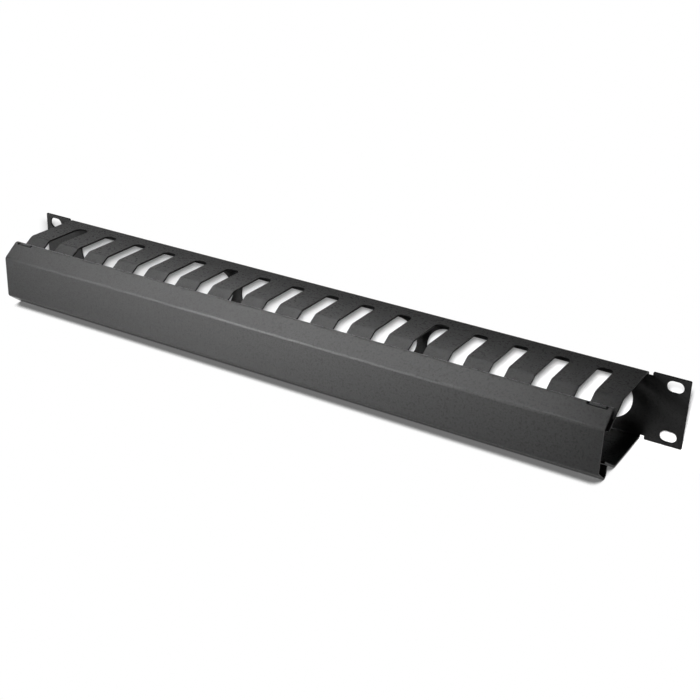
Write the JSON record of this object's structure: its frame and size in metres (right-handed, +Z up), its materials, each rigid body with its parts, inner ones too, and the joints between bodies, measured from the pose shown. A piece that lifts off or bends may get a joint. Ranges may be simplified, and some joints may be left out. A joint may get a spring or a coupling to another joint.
{
  "type": "horizontal cable manager",
  "caption": "Horizontal rack cable manager: a folded steel duct with slotted finger flanges, oblong back openings and rack ears, closed by a snap-fit front cover.",
  "frame": {"origin": "centre of the rack bolt pattern, on the rear face of the back plate", "axes": "+X along the rack to the right seen from the front, +Y back into the rack, +Z up"},
  "size_m": [0.4826, 0.0692, 0.0442],
  "materials": {
    "black_powder_coat": "fine-textured black powder coat on folded sheet steel"
  },
  "bodies": {
    "base": {"base_channel": "black_powder_coat"},
    "cover": {"snap_cover": "black_powder_coat"}
  },
  "joints": [
    {"name": "cover_pull", "type": "slide", "parent": "base", "child": "cover", "axis": [0, -1, 0], "range_m": [0, 0.03]}
  ]
}
